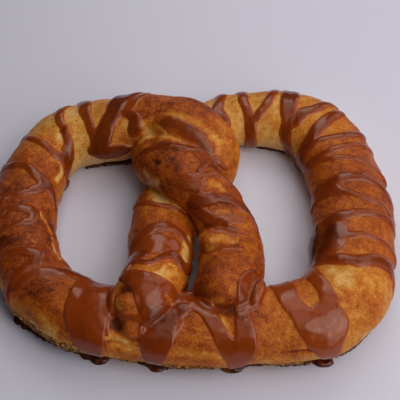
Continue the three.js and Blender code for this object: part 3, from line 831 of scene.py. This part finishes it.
def sauce_profile(past, thickness, edge):
    """Height over the dough: a thin skin at the edge, then full from some way in."""
    skin = np.minimum(SAUCE_SKIN, 0.6 * thickness)
    inside = skin * smooth_step(0, SKIN_EDGE, -past)
    inside += (thickness - skin) * smooth_step(-0.25 * edge, edge, -past)
    return np.where(past < 0, inside, -CARAMEL_SLOPE * past)


def soft_max(a, b, blend=0.5):
    """The higher of two heights, with the corner between them filled."""
    gap = np.abs(a - b)
    fill = np.where(gap < blend, (blend - gap) ** 2 / (4 * blend), 0)
    high = np.maximum(a, b)
    return high + np.where(high > -0.3, fill, 0)


def sauce_over(points, paths, waver):
    """How far the caramel stands over the dough at each point; negative past its edges."""
    height = np.full(len(points), -CARAMEL_SLOPE * CARAMEL_MARGIN)
    for path, widths, spread, thickness, edge in paths:
        near, past, width = beside_path(points, path, widths * spread, CARAMEL_MARGIN)
        if not len(near):
            continue
        past = past + WAVER * waver[near] * np.clip(width / 2, 0.5, 1.5)
        if thickness is None:
            thickness = np.minimum(CARAMEL_MOST, CARAMEL_THIN + CARAMEL_PER_WIDTH * width)
            edge = np.clip(EDGE_PER_WIDTH * width, EDGE_LEAST, EDGE_MOST)
        height[near] = soft_max(height[near], sauce_profile(past, thickness, edge))
    return height


def sauce_bed(dough):
    """A finer, smoother copy of the dough's surface for the caramel to lie on."""
    pick(dough)
    bpy.ops.object.duplicate()
    bed = bpy.context.object
    remesh(bed, CARAMEL_GRID, 8)
    return bed


def make_sauce(name, bed, skin, runs, films=(), pools=()):
    pick(bed)
    bpy.ops.object.duplicate()
    sauce = bpy.context.object
    sauce.name = sauce.data.name = name
    paths = [(*path_on_rope(skin, rows), RUN_SPREAD, None, None) for rows in runs]
    paths += [(*path_on_rope(skin, rows), FILM_SPREAD, thick, edge) for thick, edge, rows in films]
    paths += [(*path_from_above(skin, rows), POOL_SPREAD, thick, edge)
              for thick, edge, rows in pools]
    points = get_points(sauce)
    rough = sauce_over(points, paths, np.zeros(len(points)))
    sauce.data.vertices.foreach_set("select", rough <= -CARAMEL_SLOPE * CARAMEL_MARGIN + 0.01)
    bpy.context.tool_settings.mesh_select_mode = (True, False, False)
    bpy.ops.object.mode_set(mode="EDIT")
    bpy.ops.mesh.delete(type="VERT")
    bpy.ops.object.mode_set(mode="OBJECT")
    points, normals = get_points(sauce), get_normals(sauce)
    height = sauce_over(points, paths, grain(points, WAVER_LENGTH, 21, 2))
    uneven = 1 + UNEVEN_PART * grain(points, UNEVEN_SIZE, 22, 1)
    height = np.where(height > 0, height * uneven, height)
    points += normals * height[:, None]
    rest_on_table(sauce, points)
    set_attribute(sauce, "depth", height)
    set_attribute(sauce, "browning_and_shade", dough_brown_and_shade[nearest_in(dough_tree, points)])
    apply_modifier(sauce, "SMOOTH", factor=0.5, iterations=2)
    apply_modifier(sauce, "SOLIDIFY", thickness=CARAMEL_ROOT * MM, offset=-1)
    shade_smooth(sauce)
    return sauce


skin = skin_of(dough)
bed = sauce_bed(dough)
dough_tree = tree_of(get_points(dough))
dough_brown_and_shade = get_attribute(dough, "browning_and_shade")
sauces = [
    make_sauce("caramel_left", bed, skin, RUNS_LEFT, FILMS_LEFT),
    make_sauce("caramel_middle", bed, skin, RUNS_MIDDLE, FILMS_MIDDLE, POOLS_MIDDLE),
    make_sauce("caramel_right", bed, skin, RUNS_RIGHT, FILMS_RIGHT),
]
bpy.data.objects.remove(bed)

# ---- Burnt sugar round the bottom ----

# Caramel that ran under the dough and baked on there, with a ragged edge. First the front rim's
# outer edge on the table, from left to right: x, y, and how ragged it is in mm.
FRONT_RIM = [
    (-66, -35, 0.2), (-71.2, -39.6, 0.4), (-69.9, -43.4, 0.8), (-64.2, -47.3, 1.1),
    (-57.9, -50.9, 1.2), (-51.5, -54.3, 1.2), (-45.2, -56.8, 1.2), (-39, -58.2, 0.9),
    (-31, -58.9, 0.6), (-25, -60, 0.5), (-19, -61.7, 0.6), (-13, -63.6, 0.7), (-7, -63.6, 0.7),
    (0.5, -63.6, 0.6), (6.4, -63, 0.5), (12.2, -63, 0.5), (17, -64, 0.6), (22, -62.8, 0.5),
    (28, -62.2, 0.5), (36, -62.4, 0.5), (43.6, -62.2, 0.6), (51.6, -61, 0.5), (57, -59.3, 0.4),
    (64, -55.8, 0.4), (70.4, -50.2, 0.5), (75.7, -42.3, 0.4), (77.4, -35, 0.3), (75, -28, 0.2),
]
FRONT_RIM_WIDTH = 7
# Shorter stretches at the loops' inner and outer sides: from one station of the rope to another,
# its outer side (1) or inner side (-1), and how far it shows. Those under the inner sides of the
# loops' backs, from -190 to -160 and from 152 to 186, are partly a dark line of painted shade
# along the rope's lower edge.
RIM = [
    (-136, -131, -1, 1.2), (-100, -96, -1, 1), (-90, -84, -1, 1.4), (112, 119, -1, 1.1),
    (104, 108, -1, 0.9), (152, 186, -1, 0.7), (-190, -160, -1, 0.9), (-78, -60, -1, 0.4),
]
# Thick drops on the table: x, y, and half sizes along x, y and z.
DROPS = [
    (-35.2, -58.6, 4, 3, 1.8), (-40, -57, 3, 2.4, 1.2), (-12.5, -62.6, 3.4, 2.2, 1.3),
    (17, -63, 4.6, 2.2, 1.6), (53, -60.2, 4.4, 2.4, 1.4),
]
# The lumps that make up the rim: their half width and half height in mm, and how far they turn.
FRONT_LUMPS = dict(width=(1.1, 2), height=(0.7, 1.4), turn=0.35)
SHORT_LUMPS = dict(width=(0.9, 1.7), height=(0.5, 1.2), turn=0.4)
RIM_SPACING, RIM_SCATTER = 0.9, 0.6  # of a short stretch's lumps along the rope
RIM_EDGE, RIM_ROOT = 0.67, 0.45  # where the dough's underside ends and the rim starts, over r
RIM_HEIGHT = 0.2  # of the lumps' middles
DROP_HEIGHT = 0.3
RIM_GRID = 0.45
BUBBLE_SIZE, BUBBLE_PART = 2, 0.3


def blob(model, at, size, turn):
    """A copy of a small ball, stretched, turned about the vertical and set down."""
    deselect_all()
    copy = bpy.data.objects.new("blob", model.data.copy())
    bpy.context.collection.objects.link(copy)
    shape_ball(copy, at, size, turn)
    return copy


def rim_lump(draw, model, middle, length, heading, kind):
    size = (length / 2, draw.uniform(*kind["width"]), draw.uniform(*kind["height"]))
    turn = heading + draw.uniform(-kind["turn"], kind["turn"])
    return blob(model, (*middle, RIM_HEIGHT), size, turn)


def make_rim():
    draw = random.Random(11)
    deselect_all()
    bpy.ops.mesh.primitive_ico_sphere_add(subdivisions=2, radius=1)
    model = bpy.context.object
    blobs = []
    edge_line = smooth_path(FRONT_RIM, 12)
    heading = unit(np.gradient(edge_line[:, :2], axis=0))
    for (x, y, ragged), (along_x, along_y) in zip(edge_line, heading):
        pull = draw.uniform(-0.2, 1) * ragged
        length = FRONT_RIM_WIDTH - pull
        middle = (x - along_y * (pull + length / 2), y + along_x * (pull + length / 2))
        inward = math.atan2(along_x, -along_y)
        blobs.append(rim_lump(draw, model, middle, length, inward, FRONT_LUMPS))
    for first, last, side, shows in RIM:
        for station in np.arange(first, last, RIM_SPACING):
            station += draw.uniform(-RIM_SCATTER, RIM_SCATTER)
            centre, out = (rope.look_up(table, station) for table in (rope.centre, rope.out))
            r = rope.look_up(rope.r, station)
            edge = RIM_EDGE * r + shows * draw.uniform(0.6, 1.2)
            length = edge - RIM_ROOT * r
            middle = (centre + out * side * (edge - length / 2))[:2]
            outward = math.atan2(out[1], out[0])
            blobs.append(rim_lump(draw, model, middle, length, outward, SHORT_LUMPS))
    for x, y, *size in DROPS:
        blobs.append(blob(model, (x, y, DROP_HEIGHT), size, 0))
    bpy.data.objects.remove(model)
    rim = join(blobs, "burnt_sugar_rim")
    remesh(rim, RIM_GRID, 2)
    points = get_points(rim)
    points[:, 2] *= 1 + BUBBLE_PART * grain(points, BUBBLE_SIZE, 31)
    rest_on_table(rim, points)
    shade_smooth(rim)
    return rim


rim = make_rim()

# Crumbs of crust and dried froth low on the front: from and to along the rope, from and to
# in angle, and how many.
CRUMBS = [
    (-76, -62, 92, 110, 90), (-62, -44, 82, 108, 290), (-34, -26, 96, 108, 30),
    (-17, 3, 97, 110, 120), (22, 34, 100, 110, 24),
]
CRUMB_SIZE = (0.4, 0.95)
CRUMB_LENGTH = 1.3  # over its size
CRUMB_ROUGHNESS = 0.25
LOWEST_CRUMB = 0.5


def make_crumbs():
    """Little lumps that stick to the dough where it rests on its rim of burnt sugar."""
    draw = random.Random(12)
    deselect_all()
    bpy.ops.mesh.primitive_ico_sphere_add(subdivisions=1, radius=1)
    model = bpy.context.object
    points = get_points(dough)
    station, arc = (get_attribute(dough, name) / MM for name in ("station", "arc"))
    angle = np.degrees(arc / rope.look_up(rope.r, station))
    lumps = []
    for first, last, low, high, count in CRUMBS:
        here = (station > first) & (station < last) & (angle > low) & (angle < high)
        here = np.flatnonzero(here & (points[:, 2] > LOWEST_CRUMB))
        for _ in range(count):
            at = points[here[draw.randrange(len(here))]]
            size = draw.uniform(*CRUMB_SIZE)
            size = (size * CRUMB_LENGTH, size, size * draw.uniform(0.6, 1))
            lumps.append(blob(model, at, size, draw.uniform(0, 3)))
    bpy.data.objects.remove(model)
    crumbs = join(lumps, "baked_crumbs")
    points = get_points(crumbs)
    rough = CRUMB_ROUGHNESS * grain(points, 0.8, 33)
    rest_on_table(crumbs, points + get_normals(crumbs) * rough[:, None])
    return crumbs


crumbs = make_crumbs()

# ---- Materials ----


def colour(code):
    """The linear colour of an sRGB hex code."""
    channels = [int(code[i:i + 2], 16) / 255 for i in (1, 3, 5)]
    linear = [c / 12.92 if c <= 0.04045 else ((c + 0.055) / 1.055) ** 2.4 for c in channels]
    return (*linear, 1)


def add_node(tree, kind, inputs=None, **settings):
    """Adds a node. An input is a value, an output to link, or a node whose first output links."""
    made = tree.nodes.new("ShaderNode" + kind)
    for name, value in settings.items():
        setattr(made, name, value)
    for name, value in (inputs or {}).items():
        if isinstance(value, bpy.types.Node):
            value = value.outputs[0]
        if isinstance(value, bpy.types.NodeSocket):
            tree.links.new(value, made.inputs[name])
        else:
            made.inputs[name].default_value = value
    return made


def fill_ramp(ramp, stops):
    elements = ramp.color_ramp.elements
    while len(elements) < len(stops):
        elements.new(0.5)
    for element, (place, code) in zip(elements, stops):
        element.position = place
        element.color = colour(code)
    return ramp


def wear(things, look):
    """Gives things the material of a look, a function that returns its surface's inputs."""
    material = bpy.data.materials.new(look.__name__)
    material.use_nodes = True
    tree = material.node_tree
    tree.nodes.clear()
    surface = add_node(tree, "BsdfPrincipled", look(tree))
    add_node(tree, "OutputMaterial", {"Surface": surface})
    for thing in things:
        thing.data.materials.clear()
        thing.data.materials.append(material)


# Sizes of the materials' patterns in mm.
FOLD_LENGTH, FOLD_WIDTH = 6, 0.9
MOTTLE, SPECKLE = 2.4, 0.7
PEEL, PEEL_DEPTH = 0.9, 0.5
STREAKS = 4
BURNT_PATCHES = 2.2
CRUMB_PATCHES = 1.8


def fine_folds(tree):
    """Fine wrinkles where the dough has them, long along the rope and close across it."""
    wrinkled, station, arc = (
        add_node(tree, "Attribute", attribute_name=name).outputs["Fac"]
        for name in ("wrinkled", "station", "arc"))
    along = add_node(tree, "Math", {0: station, 1: 1 / (FOLD_LENGTH * MM)}, operation="MULTIPLY")
    across = add_node(tree, "Math", {0: arc, 1: 1 / (FOLD_WIDTH * MM)}, operation="MULTIPLY")
    on_rope = add_node(tree, "CombineXYZ", {"X": along, "Y": across})
    lines = add_node(tree, "TexNoise", {"Vector": on_rope, "Scale": 1, "Detail": 2})
    centred = add_node(tree, "Math", {0: lines, 1: 0.5}, operation="SUBTRACT")
    return add_node(tree, "Math", {0: centred, 1: wrinkled}, operation="MULTIPLY")


def baked_colour(tree, darker=None, folds=None):
    """Colour of the crust at a place, from how brown it is, painted shade included; darker is
    added to that.
    """
    place = add_node(tree, "TexCoord").outputs["Object"]
    brown_and_shade = add_node(tree, "Attribute", attribute_name="browning_and_shade").outputs["Fac"]
    if darker:
        brown_and_shade = add_node(tree, "Math", {0: brown_and_shade, 1: darker}, operation="ADD")
    mottle = add_node(tree, "TexNoise", {
        "Vector": place, "Scale": 1 / (MOTTLE * MM), "Detail": 6, "Roughness": 0.68})
    speckle = add_node(tree, "TexNoise", {
        "Vector": place, "Scale": 1 / (SPECKLE * MM), "Detail": 3, "Roughness": 0.7})
    for pattern, shift in ((mottle, -0.35), (speckle, -0.4)):
        uneven = add_node(tree, "Math", {0: pattern, 1: 0.8, 2: shift}, operation="MULTIPLY_ADD")
        brown_and_shade = add_node(tree, "Math", {0: brown_and_shade, 1: uneven}, operation="ADD")
    if folds:
        brown_and_shade = add_node(tree, "Math", {0: folds, 1: -0.35, 2: brown_and_shade}, operation="MULTIPLY_ADD")
    baked = fill_ramp(add_node(tree, "ValToRGB", {"Fac": brown_and_shade}), [
        (0.0, "#e2b77c"), (0.2, "#d49c4a"), (0.4, "#c67722"), (0.6, "#ab5412"),
        (0.8, "#86360a"), (1.0, "#4c1c06"),
    ])
    return baked, place, mottle


def egg_washed_crust(tree):
    """Wheat crust brushed with egg and baked: satin brown skin, paler where it stretched."""
    folds = fine_folds(tree)
    baked, place, mottle = baked_colour(tree, folds=folds)
    peel = add_node(tree, "TexNoise", {
        "Vector": place, "Scale": 1 / (PEEL * MM), "Detail": 4, "Roughness": 0.6})
    relief = add_node(tree, "Math", {0: peel, 1: folds}, operation="ADD")
    bump = add_node(tree, "Bump", {
        "Height": relief, "Strength": 0.7, "Distance": PEEL_DEPTH * MM})
    gloss = add_node(tree, "MapRange", {"Value": mottle, "To Min": 0.34, "To Max": 0.58})
    return {"Base Color": baked, "Roughness": gloss, "IOR": 1.3, "Normal": bump}


def set_caramel(tree):
    """Milk caramel sauce, set soft and semi-gloss: the crust shows through where it is thin."""
    depth = add_node(tree, "Attribute", attribute_name="depth").outputs["Fac"]
    soaked = add_node(tree, "MapRange", {
        "Value": depth, "From Min": 0.05, "From Max": 0.5, "To Max": 0.3})
    below, place, _ = baked_colour(tree, darker=soaked)
    streaks = add_node(tree, "TexNoise", {
        "Vector": place, "Scale": 1 / (STREAKS * MM), "Detail": 3})
    uneven = add_node(tree, "Math", {0: streaks, 1: 0.36, 2: -0.18}, operation="MULTIPLY_ADD")
    thick = add_node(tree, "Math", {0: depth, 1: uneven}, operation="ADD")
    body = add_node(tree, "MapRange", {"Value": thick, "From Max": 1.3})
    sauce = fill_ramp(add_node(tree, "ValToRGB", {"Fac": body}), [
        (0.0, "#a8521c"), (0.3, "#9c4714"), (0.55, "#8c3a0d"), (0.75, "#702a08"),
        (1.0, "#3c1104"),
    ])
    hides = add_node(tree, "MapRange", {"Value": thick, "From Max": 0.55, "To Max": 0.88})
    shown = add_node(tree, "Mix", {0: hides, 6: below, 7: sauce}, data_type="RGBA")
    gloss = add_node(tree, "MapRange", {
        "Value": depth, "From Min": 0.05, "From Max": 0.5, "To Min": 0.4, "To Max": 0.19})
    return {
        "Base Color": shown.outputs[2], "Roughness": gloss, "IOR": 1.42,
        "Subsurface Weight": 0.3, "Subsurface Radius": (1, 0.4, 0.2), "Subsurface Scale": MM,
    }


def patchy(tree, size, detail, stops):
    """A colour that changes in patches of a size in mm."""
    place = add_node(tree, "TexCoord").outputs["Object"]
    patches = add_node(tree, "TexNoise", {
        "Vector": place, "Scale": 1 / (size * MM), "Detail": detail})
    return fill_ramp(add_node(tree, "ValToRGB", {"Fac": patches}), stops)


def burnt_sugar(tree):
    """Caramel baked dark on the tray: almost black brown, glassy, with rough bubbly places."""
    stops = [(0.3, "#34140a"), (0.5, "#4c200e"), (0.62, "#6e3212"), (0.75, "#8f4a1a")]
    burnt = patchy(tree, BURNT_PATCHES, 3, stops)
    return {"Base Color": burnt, "Roughness": 0.28, "IOR": 1.48}


def baked_crumb(tree):
    """Dry crumbs and froth of sugar and egg wash: straw to dark brown, dull."""
    stops = [(0.32, "#5a3012"), (0.44, "#7e5020"), (0.56, "#a4763a"), (0.7, "#cba561")]
    return {"Base Color": patchy(tree, CRUMB_PATCHES, 2, stops), "Roughness": 0.6, "IOR": 1.4}


def pale_table_top(tree):
    """A painted table top, pale lilac grey and dull."""
    return {"Base Color": colour("#d7dcf6"), "Roughness": 0.6}


wear([dough], egg_washed_crust)
wear(sauces, set_caramel)
wear([rim], burnt_sugar)
wear([crumbs], baked_crumb)

# ---- Floor and light ----

FLOOR_SIZE = 8  # m


def add_floor():
    deselect_all()
    bpy.ops.mesh.primitive_plane_add(size=FLOOR_SIZE)
    floor = bpy.context.object
    floor.name = "floor"
    wear([floor], pale_table_top)


# Softboxes: tilt from overhead and bearing from the right towards the back, in degrees; power.
SOFTBOXES = [
    (0, 0, 0.2), (30, 90, 0.28), (30, 315, 0.52), (40, 0, 0.36), (40, 45, 0.24), (50, 90, 0.44),
    (50, 315, 0.44), (68, 0, 0.14), (68, 45, 0.24), (68, 315, 0.42), (25, 270, 0.08),
]
SOFTBOX_DISTANCE = 0.55  # m
SOFTBOX_SIZE = 0.25
SOFTBOX_COLOUR = "#fff5e8"
ROOM_COLOUR, ROOM_LIGHT = "#d8daee", 0.03


def add_softbox(name, tilt, bearing, power):
    tilt, bearing = math.radians(tilt), math.radians(bearing)
    flat = math.sin(tilt)
    towards = Vector((flat * math.cos(bearing), flat * math.sin(bearing), math.cos(tilt)))
    bpy.ops.object.light_add(type="AREA", location=towards * SOFTBOX_DISTANCE)
    lamp = bpy.context.object
    lamp.name = name
    lamp.data.size = SOFTBOX_SIZE
    lamp.data.energy = power
    lamp.data.color = colour(SOFTBOX_COLOUR)[:3]
    lamp.rotation_euler = towards.to_track_quat("Z", "Y").to_euler()


add_floor()
for number, (tilt, bearing, power) in enumerate(SOFTBOXES):
    add_softbox(f"softbox_{number}", tilt, bearing, power)
world = bpy.data.worlds.new("room")
bpy.context.scene.world = world
world.use_nodes = True
room = world.node_tree.nodes["Background"].inputs
room["Color"].default_value = colour(ROOM_COLOUR)
room["Strength"].default_value = ROOM_LIGHT
bpy.context.scene.view_settings.view_transform = "Standard"

# ---- Bodies, and the CAD part hidden ----

for piece in [dough, *sauces, rim, crumbs]:
    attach(piece, "root")
    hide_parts("pretzel")
